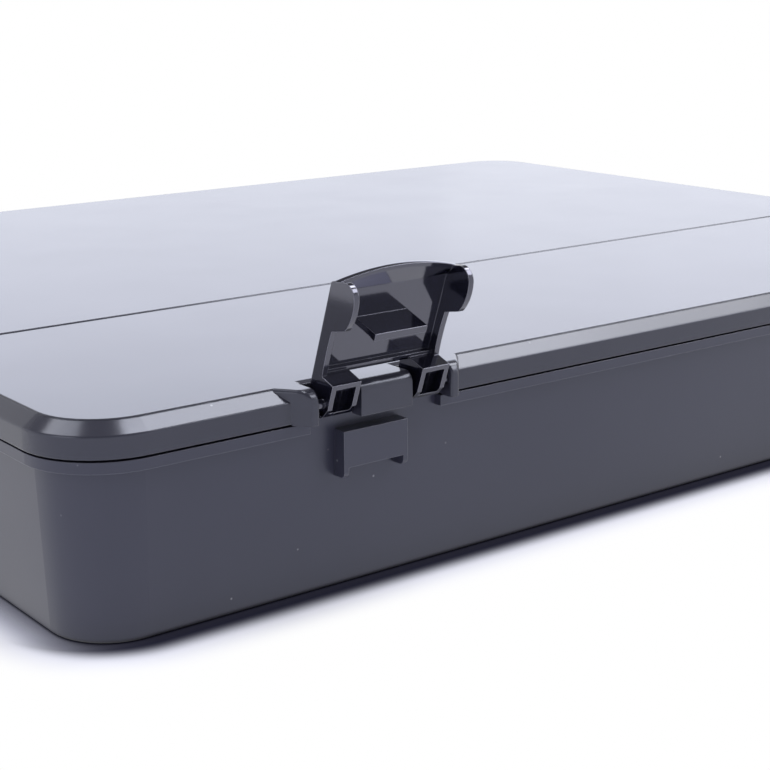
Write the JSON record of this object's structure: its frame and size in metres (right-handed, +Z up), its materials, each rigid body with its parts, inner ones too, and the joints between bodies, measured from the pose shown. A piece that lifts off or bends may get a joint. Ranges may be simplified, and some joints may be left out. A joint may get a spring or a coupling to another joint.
{
  "type": "feeder tackle box",
  "caption": "Flat black plastic tackle box with a bevelled hinged lid, flip-over latches on the front and dividers in slotted channels",
  "frame": {"origin": "Centre of the flat underside of the tray, in the plane that the box rests on", "axes": "+X along the front to the right, +Y from the front with the latches to the hinged back, +Z up"},
  "size_m": [0.37, 0.3083, 0.0774],
  "materials": {
    "case_plastic": "glossy black moulding",
    "latch_plastic": "glossy black moulding",
    "divider_plastic": "matt black sheet moulding",
    "pin_steel": "drawn steel wire"
  },
  "bodies": {
    "tray": {"base_tray": "case_plastic", "tray_rim_front": "case_plastic", "tray_rim_around": "case_plastic", "catch_left": "case_plastic", "catch_right": "case_plastic", "hinge_pin_left": "pin_steel", "hinge_pin_right": "pin_steel", "divider_front_1": "divider_plastic", "divider_front_2": "divider_plastic", "divider_front_3": "divider_plastic", "divider_front_4": "divider_plastic", "divider_front_5": "divider_plastic", "divider_middle_1": "divider_plastic", "divider_middle_2": "divider_plastic", "divider_middle_3": "divider_plastic", "divider_middle_4": "divider_plastic", "divider_middle_5": "divider_plastic", "divider_rear_1": "divider_plastic", "divider_rear_2": "divider_plastic", "divider_rear_3": "divider_plastic", "divider_rear_4": "divider_plastic", "divider_rear_5": "divider_plastic"},
    "lid": {"lid_shell": "case_plastic"},
    "lever_left": {"latch_lever_left": "latch_plastic"},
    "lever_right": {"latch_lever_right": "latch_plastic"}
  },
  "joints": [
    {"name": "lid_hinge", "type": "hinge", "parent": "tray", "child": "lid", "pos_m": [0, 0.1474, 0.0424], "axis": [-1, 0, 0], "range_deg": [0, 105]},
    {"name": "latch_left", "type": "hinge", "parent": "lid", "child": "lever_left", "pos_m": [-0.10595, -0.1461, 0.0465], "axis": [1, 0, 0], "range_deg": [0, 160.3]},
    {"name": "latch_right", "type": "hinge", "parent": "lid", "child": "lever_right", "pos_m": [0.10595, -0.1461, 0.0465], "axis": [1, 0, 0], "range_deg": [0, 160.3]}
  ]
}
